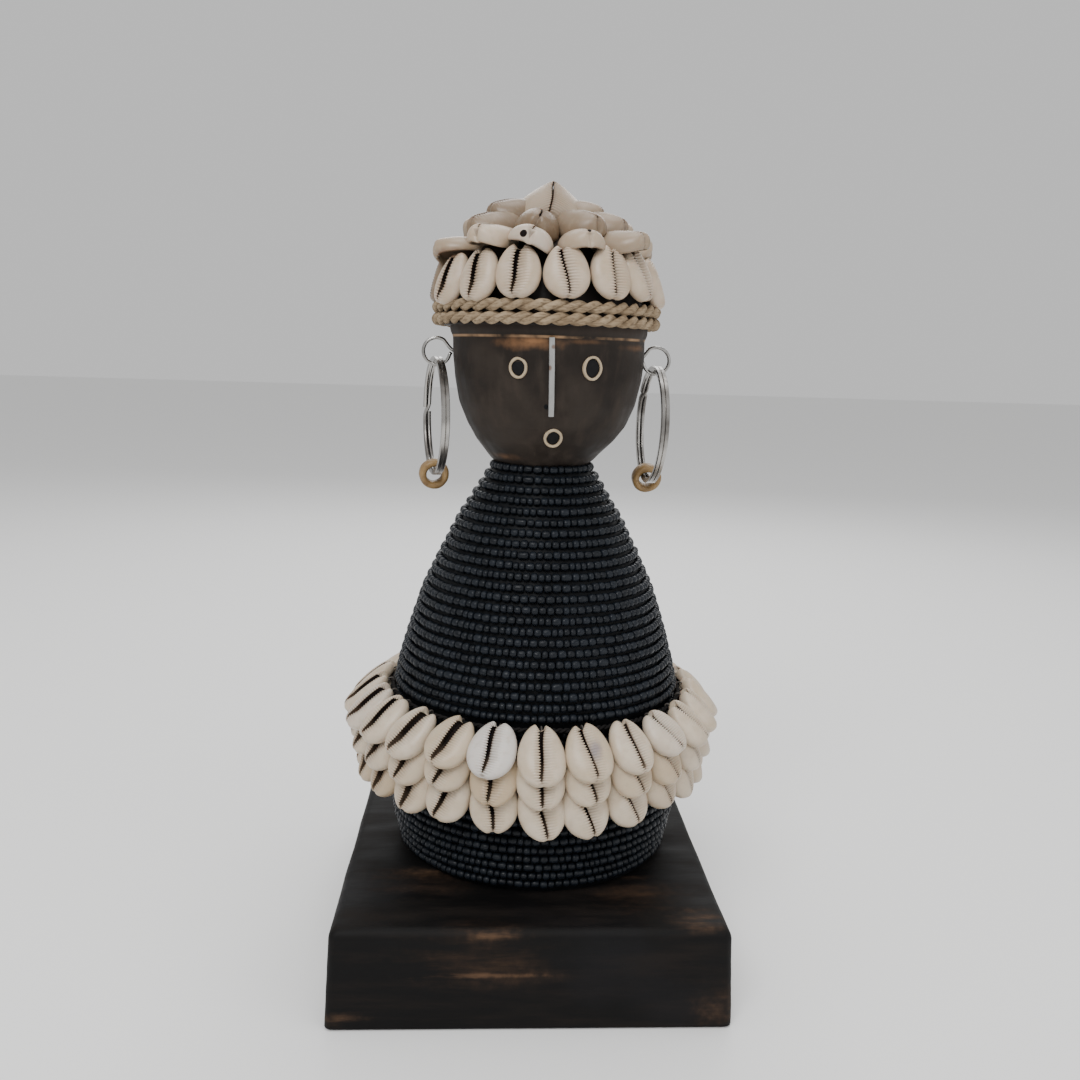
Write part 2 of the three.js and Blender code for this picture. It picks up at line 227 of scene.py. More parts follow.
def turned(outline, segments, ripple):
    """A body turned about Z from (height, radius) points, capped flat, with a ripple of its surface."""
    angles = np.linspace(0, 2 * math.pi, segments, endpoint=False)
    verts = []
    for height, radius in outline:
        for angle in angles:
            x, y = math.sin(angle), -math.cos(angle)
            worn = ripple * noise.noise(Vector((x * 2.2, y * 2.2, height * 0.06)))
            verts.append(((radius + worn) * x, (radius + worn) * y, height))
    faces = grid_faces(len(outline), segments, wrap_columns=True) + end_faces(len(outline), segments)
    return verts, faces


def swept(path, section, up, closed=False, sizes=None):
    """A bar whose section, in (side, up) points, is carried along a path of points."""
    path = np.asarray(path, float)
    ahead = np.roll(path, -1, 0) - np.roll(path, 1, 0)
    if not closed:
        ahead[0] = path[1] - path[0]
        ahead[-1] = path[-1] - path[-2]
    ahead /= np.linalg.norm(ahead, axis=1)[:, None]
    side = np.cross(ahead, np.broadcast_to(np.asarray(up, float), path.shape))
    side /= np.linalg.norm(side, axis=1)[:, None]
    rise = np.cross(side, ahead)
    sizes = np.ones(len(path)) if sizes is None else np.asarray(sizes, float)
    section = np.asarray(section, float)
    offsets = side[:, None] * section[None, :, :1] + rise[:, None] * section[None, :, 1:]
    verts = (path[:, None] + offsets * sizes[:, None, None]).reshape(-1, 3)
    faces = grid_faces(len(path), len(section), wrap_rows=closed, wrap_columns=True)
    if not closed:
        faces += end_faces(len(path), len(section))
    return verts, faces


def round_section(radius, sides):
    """Points round a circle, or with a radius of 1 the cosines and sines of even steps."""
    return [(radius * math.cos(2 * math.pi * k / sides), radius * math.sin(2 * math.pi * k / sides))
            for k in range(sides)]


def radial_point(azimuth, radius, height):
    """A point at an azimuth in degrees from the front, turning towards +X."""
    angle = math.radians(azimuth)
    return Vector((radius * math.sin(angle), -radius * math.cos(angle), height))


# ---- materials

class Shader:
    """A Principled material being built from procedural nodes."""

    def __init__(self, name, roughness, **sockets):
        self.material = bpy.data.materials.new(name)
        self.material.use_nodes = True
        self.tree = self.material.node_tree
        self.surface = self.tree.nodes["Principled BSDF"]
        self.fill(self.surface, Roughness=roughness, **sockets)
        self.place = self.node("ShaderNodeTexCoord").outputs["Object"]

    def node(self, kind, *values, **settings):
        """Adds a node and fills its first inputs."""
        made = self.tree.nodes.new(kind)
        for name, value in settings.items():
            setattr(made, name, value)
        for socket, value in zip(made.inputs, values):
            self.wire(value, socket)
        return made

    def wire(self, value, socket):
        """Links another node's output to a socket, or sets the socket's own value."""
        if isinstance(value, bpy.types.NodeSocket):
            self.tree.links.new(value, socket)
        elif isinstance(value, tuple) and len(value) == 3 and socket.type == "RGBA":
            socket.default_value = (*value, 1)
        else:
            socket.default_value = value

    def fill(self, node, **values):
        """Wires values to a node's inputs by name, with _ for a space."""
        for name, value in values.items():
            self.wire(value, node.inputs[name.replace("_", " ")])

    def stretched(self, x, y, z):
        """The object's coordinates, scaled along each axis."""
        node = self.node("ShaderNodeMapping", self.place)
        self.fill(node, Scale=(x, y, z))
        return node.outputs["Vector"]

    def noise(self, scale, detail=3, source=None, roughness=0.5):
        node = self.node("ShaderNodeTexNoise", source or self.place)
        self.fill(node, Scale=scale, Detail=detail, Roughness=roughness)
        return node.outputs["Fac"]

    def maths(self, operation, a, b):
        return self.node("ShaderNodeMath", a, b, operation=operation).outputs[0]

    def times(self, a, b):
        return self.maths("MULTIPLY", a, b)

    def steps(self, value, low, high, to_low=0.0, to_high=1.0):
        """A soft step of a value between two levels."""
        return self.node("ShaderNodeMapRange", value, low, high, to_low, to_high,
                         interpolation_type="SMOOTHSTEP").outputs[0]

    def mix(self, factor, a, b):
        node = self.node("ShaderNodeMix", factor, data_type="RGBA")
        self.wire(a, node.inputs[6])
        self.wire(b, node.inputs[7])
        return node.outputs[2]

    def spot(self, centre, radii, soft=0.6):
        """1 inside an ellipsoid in millimetres, fading to 0 at its ragged edge."""
        vector = "ShaderNodeVectorMath"
        shift = self.node(vector, self.place, [c * MM for c in centre], operation="SUBTRACT")
        scale = self.node(vector, shift.outputs[0], [r * MM for r in radii], operation="DIVIDE")
        length = self.node(vector, scale.outputs[0], operation="LENGTH")
        ragged = self.maths("ADD", length.outputs["Value"], self.times(self.noise(380, 4), 0.8))
        edge = 1.4
        return self.steps(ragged, edge, edge - soft)

    def spots(self, *places):
        """1 inside any of several spots, each (centre, radii, softness)."""
        found = self.spot(*places[0])
        for place in places[1:]:
            found = self.maths("MAXIMUM", found, self.spot(*place))
        return found

    def detail(self):
        """A mesh's own values: red, green, blue and alpha."""
        node = self.node("ShaderNodeAttribute", attribute_name="detail")
        split = self.node("ShaderNodeSeparateColor", node.outputs["Color"])
        return [*split.outputs, node.outputs["Alpha"]]

    def island(self):
        """A random value for each loose part of a mesh."""
        return self.node("ShaderNodeNewGeometry").outputs["Random Per Island"]

    def finish(self, colour, roughness=None, height=None, strength=0.3, distance=0.2):
        """Joins colour, roughness and a bump, its distance in millimetres, to the surface."""
        self.fill(self.surface, Base_Color=colour)
        if roughness is not None:
            self.fill(self.surface, Roughness=roughness)
        if height is not None:
            bump = self.node("ShaderNodeBump")
            self.fill(bump, Strength=strength, Distance=distance * MM, Height=height)
            self.fill(self.surface, Normal=bump.outputs["Normal"])
        return self.material


def carved_wood():
    """Dark oiled wood, worn orange-brown along the brim; painted shade between the bead rows and by the nose.
    """
    s = Shader("carved_wood", 0.6, Specular_IOR_Level=0.16)
    grain = s.noise(260, 5, s.stretched(1, 1, 0.35))
    patches = s.noise(55, 4)
    colour = s.mix(s.steps(patches, 0.35, 0.68), (0.013, 0.0095, 0.0075), (0.030, 0.0225, 0.0175))
    colour = s.mix(s.steps(grain, 0.45, 0.8, 0.0, 0.45), colour, (0.055, 0.042, 0.033))
    up = s.node("ShaderNodeSeparateXYZ", s.place).outputs[2]  # in metres, as materials see it
    worn = s.spots(
        ((-9, -31, 201.2), (17, 8, 3.0), 1.3),
        ((-6, -31, 201.8), (9, 8, 1.8), 1.0),
    )
    faint = s.spots(
        ((12, -31, 202.0), (9, 6, 1.2), 1.2),
        ((28, -16, 200.6), (12, 12, 1.5), 1.3),
        ((-14, -14, 165.0), (9, 8, 1.6), 1.3),
    )
    worn = s.maths("MAXIMUM", worn, s.times(faint, 0.4))
    # A painted shadow on the wood at the lower left of the nose strip
    nose_shadow = s.spot((-0.6, -30.0, 182.0), (0.9, 4, 1.0), 0.4)
    line = s.times(s.steps(up, 0.2026, 0.2030), s.steps(up, 0.2037, 0.2034))
    line = s.times(line, s.steps(s.noise(140, 3), 0.30, 0.62))
    colour = s.mix(s.steps(up, 0.2036, 0.2052, 0.0, 0.4), colour, (0.042, 0.031, 0.025))
    colour = s.mix(s.times(worn, 0.95), colour, (0.27, 0.135, 0.062))
    colour = s.mix(s.times(line, 0.85), colour, (0.36, 0.22, 0.12))
    # Painted shade: near-black on the core below the chin, seen between the bead rows, and the painted shadow
    # by the nose
    colour = s.mix(s.maths("MAXIMUM", s.steps(up, 0.1632, 0.1615), nose_shadow), colour, (0.0016, 0.0022, 0.0034))
    marks = s.noise(90, 4, s.stretched(1, 1, 3))
    return s.finish(colour, s.steps(grain, 0.3, 0.8, 0.52, 0.72), s.maths("ADD", marks, grain), 0.35, 0.25)


def stand_wood():
    """Near-black stain, rubbed through to brown on edges and in streaks."""
    s = Shader("stand_wood", 0.6, Specular_IOR_Level=0.12)
    grain = s.noise(110, 6, s.stretched(0.22, 1, 1.8), 0.62)
    blotches = s.noise(38, 4, s.stretched(0.7, 1, 1))
    colour = s.mix(s.steps(grain, 0.4, 0.75), (0.0045, 0.0042, 0.0042), (0.013, 0.0100, 0.0085))
    haze = s.spots(
        ((-17, -69, 21), (32, 6, 11), 1.3),
        ((-38, -40, 29), (26, 14, 2.5), 1.3),
        ((54, -66, 6), (12, 8, 12), 1.3),
        ((-18, -66, 29), (16, 6, 3), 1.3),
        ((34, -48, 29), (22, 14, 2.5), 1.3),
        ((-2, 69, 15), (40, 6, 8), 1.3),
        ((-62, 10, 15), (6, 40, 9), 1.3),
    )
    rubbed = s.times(haze, s.steps(grain, 0.30, 0.72))
    colour = s.mix(s.times(rubbed, 0.9), colour, (0.070, 0.038, 0.021))
    streak = s.spots(
        ((-21.5, -70, 16.6), (26, 5, 1.15), 0.9),
        ((-37, -34, 29), (15, 4.5, 2), 1.3),
        ((54, -67, 5), (12, 6, 7), 1.3),
        ((-14, -68, 28.6), (11, 4, 2.2), 1.3),
        ((33, -34, 29), (10, 3, 2), 1.3),
        ((-57, -70, 3), (10, 6, 3.5), 1.2),
        ((49, -62, 30), (12, 9, 2.5), 1.3),
    )
    colour = s.mix(s.times(streak, s.steps(grain, 0.36, 0.72)), colour, (0.14, 0.078, 0.043))
    colour = s.mix(s.steps(blotches, 0.5, 0.75, 0.0, 0.35), colour, (0.012, 0.012, 0.014))
    return s.finish(colour, s.steps(grain, 0.3, 0.8, 0.5, 0.75), grain, 0.45, 0.35)


def shell(name, cream, pale, warm, blotch, blotch_colour, hole_shades=()):
    """Cowrie: satin cream with paler lips; painted shade between the teeth, in the slit, in holes and in the
    hollow.
    """
    s = Shader(name, 0.36, Coat_Roughness=0.3, Subsurface_Weight=0.05, Subsurface_Scale=0.002)
    # The mesh's painted shade in the slit, between the teeth and on the back, and its tint
    slit, tooth_gap_shade, back, tint = s.detail()
    clouds = s.noise(150, 4)
    colour = s.mix(s.steps(clouds, 0.3, 0.7), cream, pale)
    colour = s.mix(s.steps(tint, 0.80, 0.92, 0.0, 0.85), colour, (0.60, 0.568, 0.535))
    colour = s.mix(s.steps(tint, 0.45, 0.0, 0.0, 0.95), colour, warm)
    mottle = s.steps(s.noise(520, 5), 0.48, 0.78, 0.0, 0.3)
    colour = s.mix(mottle, colour, (0.36, 0.285, 0.205))
    stain = s.steps(s.noise(75, 3), 0.60, 0.78, 0.0, 0.35)
    colour = s.mix(stain, colour, (0.33, 0.24, 0.16))
    # Painted shade between the teeth
    colour = s.mix(s.times(tooth_gap_shade, 0.8), colour, (0.17, 0.12, 0.085))
    # Painted shade on the cut back and in the hollow
    colour = s.mix(s.times(back, 0.92), colour, (0.10, 0.065, 0.042))
    colour = s.mix(s.times(s.spot(*blotch), 0.8), colour, blotch_colour)
    # Painted shade in the slit and in the holes: brown near the edges, near-black deep inside
    dark = slit
    for hole_shade in hole_shades:
        dark = s.maths("MAXIMUM", dark, s.spot(*hole_shade))
    inside = s.mix(s.steps(dark, 0.5, 0.85), (0.09, 0.062, 0.042), (0.010, 0.007, 0.006))
    colour = s.mix(s.steps(dark, 0.05, 0.5), colour, inside)
    s.fill(s.surface, Specular_IOR_Level=s.steps(dark, 0.05, 0.6, 0.5, 0.05),
           Coat_Weight=s.steps(dark, 0.05, 0.5, 0.08, 0.0))
    pores = s.noise(1500, 2)
    return s.finish(colour, s.steps(clouds, 0.3, 0.7, 0.33, 0.46), s.maths("ADD", clouds, pores), 0.12, 0.1)


def glass_beads():
    """Blue-black glass with a dull surface; each bead has its own shade."""
    s = Shader("glass_beads", 0.4, Specular_IOR_Level=0.22)
    colour = s.mix(s.island(), (0.0032, 0.0046, 0.0070), (0.0078, 0.0107, 0.0155))
    dust = s.noise(900, 3)
    colour = s.mix(s.steps(dust, 0.5, 0.8, 0.0, 0.25), colour, (0.03, 0.034, 0.04))
    return s.finish(colour, s.steps(dust, 0.3, 0.7, 0.3, 0.5), dust, 0.15, 0.15)


def rope_fibre():
    """Straw-coloured plant fibre, with darker streaks painted as shade in the gaps between the fibres."""
    s = Shader("rope_fibre", 0.85, Specular_IOR_Level=0.3)
    fibres = s.noise(1100, 4, s.stretched(0.5, 0.5, 1.6))
    patches = s.noise(110, 3)
    colour = s.mix(s.steps(patches, 0.3, 0.7), (0.245, 0.175, 0.105), (0.36, 0.275, 0.18))
    # Darker streaks: painted shade in the gaps between the fibres
    colour = s.mix(s.steps(fibres, 0.42, 0.68, 0.0, 0.75), colour, (0.14, 0.095, 0.055))
    return s.finish(colour, None, fibres, 0.7, 0.3)


def two_tone(name, roughness, specular, scale, detail, dark, light, strength, distance):
    """A material that varies between two colours and is raised where it is light."""
    s = Shader(name, roughness, Specular_IOR_Level=specular)
    fibres = s.noise(scale, detail)
    return s.finish(s.mix(fibres, dark, light), None, fibres, strength, distance)


def cap_skin():
    """Dark waxed skin with creases."""
    s = Shader("cap_skin", 0.65, Specular_IOR_Level=0.2)
    creases = s.noise(230, 5)
    colour = s.mix(creases, (0.006, 0.005, 0.0045), (0.030, 0.022, 0.018))
    return s.finish(colour, s.steps(creases, 0.3, 0.7, 0.4, 0.7), creases, 0.7, 0.5)


def plated(name, base, dirt, roughness):
    """Bright metal with dull smears; on the nickel rings the dark patches also stand for painted dark
    reflections.
    """
    s = Shader(name, roughness, Metallic=1.0)
    smear_and_reflection = s.noise(70, 3)
    spots = s.noise(900, 2)
    # Dark patches: smears, and on the nickel rings also painted dark reflections
    colour = s.mix(s.steps(smear_and_reflection, 0.45, 0.66, 0.0, 0.75), base, dirt)
    return s.finish(colour, s.steps(smear_and_reflection, 0.3, 0.7, roughness * 0.6, roughness * 1.6), spots, 0.06, 0.05)


def nose_metal():
    """Dull light grey metal with fine scratches and two rust spots."""
    s = Shader("nose_metal", 0.45, Metallic=0.6)
    scratches = s.noise(500, 4, s.stretched(1, 1, 0.3))
    colour = s.mix(scratches, (0.24, 0.24, 0.235), (0.44, 0.44, 0.43))
    rust = s.spots(
        ((0.9, -32.6, 200.2), (0.9, 3, 0.9)),
        ((0.0, -32.0, 194.0), (0.7, 3, 1.1)),
    )
    colour = s.mix(s.times(rust, 0.8), colour, (0.16, 0.09, 0.06))
    return s.finish(colour, s.steps(scratches, 0.3, 0.7, 0.35, 0.55), scratches, 0.2, 0.1)


def ochre_glass():
    """Ochre glass with swirls and dark dirt in its pits."""
    s = Shader("ochre_glass", 0.42)
    swirls = s.noise(230, 4)
    dirt = s.noise(600, 4)
    colour = s.mix(s.steps(swirls, 0.3, 0.7), (0.19, 0.11, 0.038), (0.31, 0.195, 0.078))
    colour = s.mix(s.steps(dirt, 0.58, 0.75, 0.0, 0.7), colour, (0.11, 0.058, 0.025))
    return s.finish(colour, s.steps(dirt, 0.3, 0.7, 0.35, 0.6), dirt, 0.2, 0.15)


WOOD = carved_wood()
STAND = stand_wood()
SKIRT_SHELL = shell("skirt_shell", (0.50, 0.405, 0.295), (0.58, 0.49, 0.38), (0.45, 0.34, 0.215),
                    ((15.6, -57.0, 82.0), (3.0, 5, 4.8), 0.9), (0.20, 0.165, 0.175))
# Holes in the cap shells, painted as dark spots of shade: (centre, radii, softness)
CAP_HOLE_SHADES = (
    ((-9.25, -36, 232.5), (1.15, 4, 1.1), 0.15),
    ((10.4, -35, 234.2), (0.6, 4, 0.6), 0.3),
    ((-4.0, -28, 239.0), (0.5, 4, 0.5), 0.3),
)
CAP_SHELL = shell("cap_shell", (0.45, 0.345, 0.24), (0.53, 0.43, 0.33), (0.15, 0.098, 0.054),
                  ((-32.0, -16.0, 227.9), (8, 8, 2.4), 0.8), (0.17, 0.085, 0.042), CAP_HOLE_SHADES)
BEADS = glass_beads()
ROPE = rope_fibre()
CORD = two_tone("dark_cord", 0.8, 0.2, 900, 4, (0.003, 0.003, 0.003), (0.010, 0.008, 0.008), 0.5, 0.2)
THREAD = two_tone("thread", 0.7, 0.5, 1500, 3, (0.03, 0.026, 0.023), (0.09, 0.078, 0.067), 0.4, 0.1)
SKIN = cap_skin()
REED = two_tone("reed", 0.5, 0.5, 700, 4, (0.29, 0.215, 0.13), (0.49, 0.395, 0.27), 0.3, 0.15)
PITCH = two_tone("pitch", 0.6, 0.15, 600, 3, (0.003, 0.003, 0.0035), (0.010, 0.0095, 0.010), 0.3, 0.15)
# Its dark colour gives smears and painted dark reflections along the bands
NICKEL = plated("nickel", (0.42, 0.405, 0.385), (0.06, 0.05, 0.043), 0.25)
WIRE = plated("wire", (0.42, 0.41, 0.395), (0.09, 0.08, 0.07), 0.24)
NOSE = nose_metal()
OCHRE = ochre_glass()
STEEL = plated("plain_steel", (0.50, 0.50, 0.49), (0.20, 0.18, 0.16), 0.35)


# ---- stand

def stand():
    """The block: wider at the floor, with softened, slightly uneven edges and a leaning front."""
    low, high = (Vector(corner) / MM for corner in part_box("base_block"))
    flare, corner, steps, edge = 0.95, 2.4, 6, 3
    height = high.z
    middle = (low + high) / 2
    half_x = (high.x - low.x) / 2 - flare
    half_y = (high.y - low.y) / 2 - flare
    levels = [(0.0, 0.6), (0.5, 0.0)]
    levels += [(z, 0.0) for z in np.linspace(2, height - edge - 0.2, 12)]
    levels += [(height - edge + edge * math.sin(a), edge * (1 - math.cos(a)))
               for a in np.linspace(0, math.pi / 2, 8)]
    verts = []
    for z, inset in levels:
        spread = flare * (1 - z / height) - inset
        ring = []
        for sign_x, sign_y, start in ((1, -1, -90), (1, 1, 0), (-1, 1, 90), (-1, -1, 180)):
            for step in range(steps + 1):
                angle = math.radians(start + 90 * step / steps)
                ring.append(Vector((sign_x * (half_x + spread - corner) + corner * math.cos(angle),
                                    sign_y * (half_y + spread - corner) + corner * math.sin(angle), z)))
        full = []
        for index, point in enumerate(ring):
            after = ring[(index + 1) % len(ring)]
            pieces = 14 if (after - point).length > 20 else 1
            full.extend(point.lerp(after, k / pieces) for k in range(pieces))
        for point in full:
            out = Vector((point.x, point.y, 0)).normalized()
            dent = 0.35 * noise.noise(point * 0.05) + 0.12 * noise.noise(point * 0.3)
            place = Vector((middle.x, middle.y, 0)) + point + out * dent * (z > 1)
            front = min(max((-place.y - 30) / 38, 0), 1)
            level = place.z / height
            raised, forward = 1.2, 1.85 - place.x / 120
            place.z += raised * front * level
            place.y -= forward * front * front * (1 - level)
            verts.append(place)
    rows = len(levels)
    columns = len(verts) // rows
    faces = grid_faces(rows, columns, wrap_columns=True) + end_faces(rows, columns)
    add_piece("stand_block", verts, faces, "doll", ["base_block"], STAND, sharp=50)


# ---- carved figure

def radius_at(outline, height):
    """The radius of a (height, radius) outline at a height."""
    heights, radii = zip(*outline)
    return float(np.interp(height, heights, radii))


def smooth_outline(points, step):
    """(height, radius) points rounded off by resampling and averaging."""
    heights, radii = np.array(points, float).T
    length = np.concatenate([[0], np.cumsum(np.hypot(np.diff(heights), np.diff(radii)))])
    places = np.arange(0, length[-1], step)
    z = np.interp(places, length, heights)
    r = np.interp(places, length, radii)
    for _ in range(3):
        z[1:-1] = (z[:-2] + 2 * z[1:-1] + z[2:]) / 4
        r[1:-1] = (r[:-2] + 2 * r[1:-1] + r[2:]) / 4
    return list(zip(z.tolist(), r.tolist()))


def head_shift(height):
    """How far the carving is set towards +X at a height."""
    rise = min(max((height - CHIN_Z) / HEAD_SHIFT_RISE, 0), 1)
    return HEAD_SHIFT * rise * rise * (3 - 2 * rise)


def figure():
    """The carving: the core under the beads and the bare head, with a flat top inside the cap."""
    core = [(height, radius_at(BODY_OVER_BEADS, height) - CORE_DEPTH)
            for height in np.linspace(29.4, CHIN_Z - 1.5, 60)]
    outline = core + smooth_outline(HEAD_OUTLINE, 0.45) + [(214, 24), (214.2, 4)]
    verts, faces = turned(outline, 160, ripple=0.45)
    verts = [(x + head_shift(z), y, z) for x, y, z in verts]
    add_piece("figure_wood", verts, faces, "doll", ["carved_figure"], WOOD, sharp=40)


def cap_skin_dome():
    """The skin that the cap's shells are tied to, seen in the gaps between them."""
    outline = smooth_outline(CAP_OUTLINE, 0.8) + [(CAP_TOP_Z, 0.5)]
    verts, faces = turned(outline, 120, ripple=0.8)
    add_piece("cap_skin", verts, faces, "doll", ["cap_hide"], SKIN)


# ---- beads

def bead_template():
    """A short barrel along X, one unit long and one unit across."""
    sides = 10
    rings = ((-0.5, 0.62), (-0.4, 0.88), (-0.2, 1.0), (0.2, 1.0), (0.4, 0.88), (0.5, 0.62))
    verts = [(along, y, z) for along, size in rings for y, z in round_section(0.5 * size, sides)]
    faces = grid_faces(len(rings), sides, wrap_columns=True) + end_faces(len(rings), sides)
    return np.array(verts), [face[::-1] for face in faces]


BEAD_VERTS, BEAD_FACES = bead_template()


def bead_row(name, height, node):
    """One row of beads round the body. Beads differ in length and sit a little unevenly."""
    radius = radius_at(BODY_OVER_BEADS, height) - BEAD_DIAMETER / 2
    count = round(2 * math.pi * radius / BEAD_SPACING)
    lengths = np.array([1.5 if rng.random() < 0.04 else rng.uniform(0.72, 1.22) for _ in range(count)])
    ends = np.cumsum(lengths) / lengths.sum() * 2 * math.pi
    turn = rng.uniform(0, 2 * math.pi)
    verts, faces = [], []
    for index, end in enumerate(ends):
        span = lengths[index] / lengths.sum() * 2 * math.pi
        angle = end - span / 2 + turn
        size = rng.uniform(0.92, 1.04) * BEAD_DIAMETER
        scaled = BEAD_VERTS * (radius * span * 0.93, size, size * 0.95)
        tilt = rng.uniform(-0.05, 0.05)
        round_body = Matrix.Rotation(angle, 3, "Z")
        place = round_body @ Matrix.Rotation(tilt, 3, "Y")
        centre = Vector((0, -radius + rng.uniform(-0.12, 0.12), height + rng.uniform(-0.12, 0.12)))
        verts.append(scaled @ np.array(place).T + np.array(round_body @ centre))
        start = index * len(BEAD_VERTS)
        faces.extend(tuple(start + corner for corner in face) for face in BEAD_FACES)
    add_piece(name, np.concatenate(verts), faces, "doll", [node], BEADS)


def bead_windings():
    """The rows of beads above and below the skirt."""
    for row, height in enumerate(np.linspace(UPPER_TOP_Z, UPPER_BOTTOM_Z, UPPER_ROWS)):
        bead_row(f"beads_upper_{row + 1:02d}", float(height), "bead_winding_upper")
    for row, height in enumerate(np.linspace(LOWER_TOP_Z, LOWER_BOTTOM_Z, LOWER_ROWS)):
        bead_row(f"beads_lower_{row + 1:02d}", float(height), "bead_winding_lower")


# ---- cowries

def cowrie(seed, face, back, tip=0.88, bend=0.5, bite=(0.3, 0.9), valley=1.0, peak=(2.1, 0.55),
           gape=(0.9, 1.3), serrated=(0.6, 0.14), ribs=SHELL_TEETH):
    """A cut cowrie along Y, narrow end up, face towards +Z: (points, faces, detail colours).

    face is the height of the dome and back its cut. tip blunts the upper end, bend lifts both ends,
    bite and valley are the notches at the lower and the upper end, and peak the form of the dome.
    gape is the range of the slit's width, and serrated the depth of the teeth on its two sides.
    The detail colours are painted shade in the slit, between the teeth and on the back, and, set where a
    shell is placed, tint.
    """
    draw = random.Random(seed)
    rows = SHELL_ROWS
    steps = np.linspace(0, 1, rows)
    v = steps - 0.3 * np.sin(2 * math.pi * steps) / (2 * math.pi)
    oval = np.sqrt(np.clip(1 - (2 * v - 1) ** 2, 0, 1))
    taper = draw.uniform(0.18, 0.34)
    blunt = np.where(v > 0.5, tip, draw.uniform(0.92, 1.15))
    half = 0.5 * SHELL_WIDTH * oval ** blunt * (1 + taper * (0.42 - v))
    along = (v - 0.5) * SHELL_LENGTH
    lean = draw.choice((-1, 1, 1)) * draw.uniform(0.6, 2.6)
    slit_x = draw.uniform(-1.0, -0.3) + lean * (0.42 - v) + 0.35 * np.sin(2 * math.pi * v)
    slit_x = slit_x * np.clip(oval * 1.5, 0.3, 1)
    wave = ribs * v + draw.uniform(0, 1) + 0.25 * np.sin(5 * v)
    teeth = (0.5 + 0.5 * np.cos(2 * math.pi * wave)) ** 1.4
    wide = draw.uniform(*gape)
    opening = wide * (0.64 + 0.38 * v) * np.clip((v - 0.03) / 0.07, 0.0, 1)
    opening = np.minimum(opening, 0.33 * half)
    swell = oval ** 0.66 * (1.04 - 0.12 * v)
    top_bite = 2.4 * valley * np.clip((v - 0.84) / 0.16, 0, 1)
    bottom_bite = draw.uniform(*bite) * np.clip((0.12 - v) / 0.12, 0, 1)
    hollow = back[-1][1]
    vault = 0.33 * face - 0.7 - hollow
    # How dark the slit is painted as shade, lighter towards the lower end
    slit_shade = draw.uniform(0.8, 1.0) * np.clip(0.3 + 1.6 * v, 0, 1)
    # How strongly the right lip's slope into the slit is painted as shade
    bevel_shade = draw.uniform(0.24, 0.42)

    def face_height(x, distance, side):
        dome = np.clip(1 - np.abs(x / np.maximum(half, 1e-6)) ** peak[0], 0, 1) ** peak[1]
        dip, reach = (0.6, 0.7) if side < 0 else (1.7, 2.4)
        dip = valley * dip * np.clip(v / 0.3, 0.3, 1)
        height = swell * (face * dome - dip * np.exp(-(distance / reach) ** 1.6))
        ridge, spread = 0.24, 1.2 if side < 0 else 2.4
        return height + ridge * teeth * np.exp(-distance / spread) * swell

    # Each column of points holds its x, z, painted shade between the teeth and painted shade in the slit
    columns = []
    for side in (-1, 1):
        bound = side * half
        serration = serrated[side > 0] * np.clip(opening / 0.5, 0, 1)
        edge = slit_x + side * np.maximum(opening - serration * teeth, 0.02)
        open_here = np.clip(opening / 0.25, 0, 1)
        lip = []
        for fraction in LIP_COLUMNS:
            x = edge + (bound - edge) * fraction
            distance = np.abs(x - edge)
            # Painted shade in the troughs between the teeth, fading away from the slit
            tooth_gap_shade = (1 - teeth) * np.exp(-distance / (0.9 if side < 0 else 1.9)) * (fraction < 0.5)
            # Painted shade on the lip at the slit: a thin dark line on the left, a broad brown slope on the
            # right
            slit = 0.12 * np.exp(-distance / 0.1) if side < 0 else bevel_shade * np.exp(-distance / 0.65)
            lip.append((x, face_height(x, distance, side), tooth_gap_shade, slit * open_here))
        lip_height = lip[0][1]
        # The slit's wall and floor carry its painted shade
        wall = (edge, lip_height - 0.3 * open_here, np.zeros(rows), 0.9 * slit_shade * open_here)
        depth = np.maximum(lip_height - 2.2 * open_here, hollow + vault * swell + 0.15)
        floor_x = slit_x + side * 0.8 * opening
        floor = (floor_x, np.minimum(depth, lip_height), np.zeros(rows), slit_shade * open_here)
        lip = [floor, wall] + lip
        columns += lip[::-1] if side < 0 else lip
    width = len(columns)
    x, z, tooth_gap_shade, slit = (np.stack(values, 1) for values in zip(*columns))
    notch = np.exp(-((x - slit_x[:, None]) / (wide + 0.3)) ** 4)
    y = along[:, None] - notch * top_bite[:, None] + np.exp(-(x / 1.1) ** 2) * bottom_bite[:, None]
    points = np.stack([x, y, z], 2).reshape(-1, 3)
    detail = np.zeros((rows * width, 4), np.float32)
    detail[:, 0] = slit.ravel()
    detail[:, 1] = tooth_gap_shade.ravel()
    faces = grid_faces(rows, width)

    left = [row * width for row in range(rows)]
    previous = [index + width - 1 for index in left] + left[::-1]
    rim = points[previous]
    total, shades, count = [points], [detail], len(points)

    def extend(more, shade):
        """Adds points of the back with their painted shade, and returns their numbers."""
        nonlocal count
        total.append(more)
        shades.append(np.tile(np.array([0, 0, shade, 0], np.float32), (len(more), 1)))
        count += len(more)
        return list(range(count - len(more), count))

    for scale, depth, shade in back:
        ids = extend(rim * (scale, scale, 0) + (0, 0, depth), shade)
        for index in range(len(ids)):
            after = (index + 1) % len(ids)
            faces.append((previous[index], ids[index], ids[after], previous[after]))
        previous = ids
    scale, depth, _ = back[-1]
    roof = [previous[:rows]]
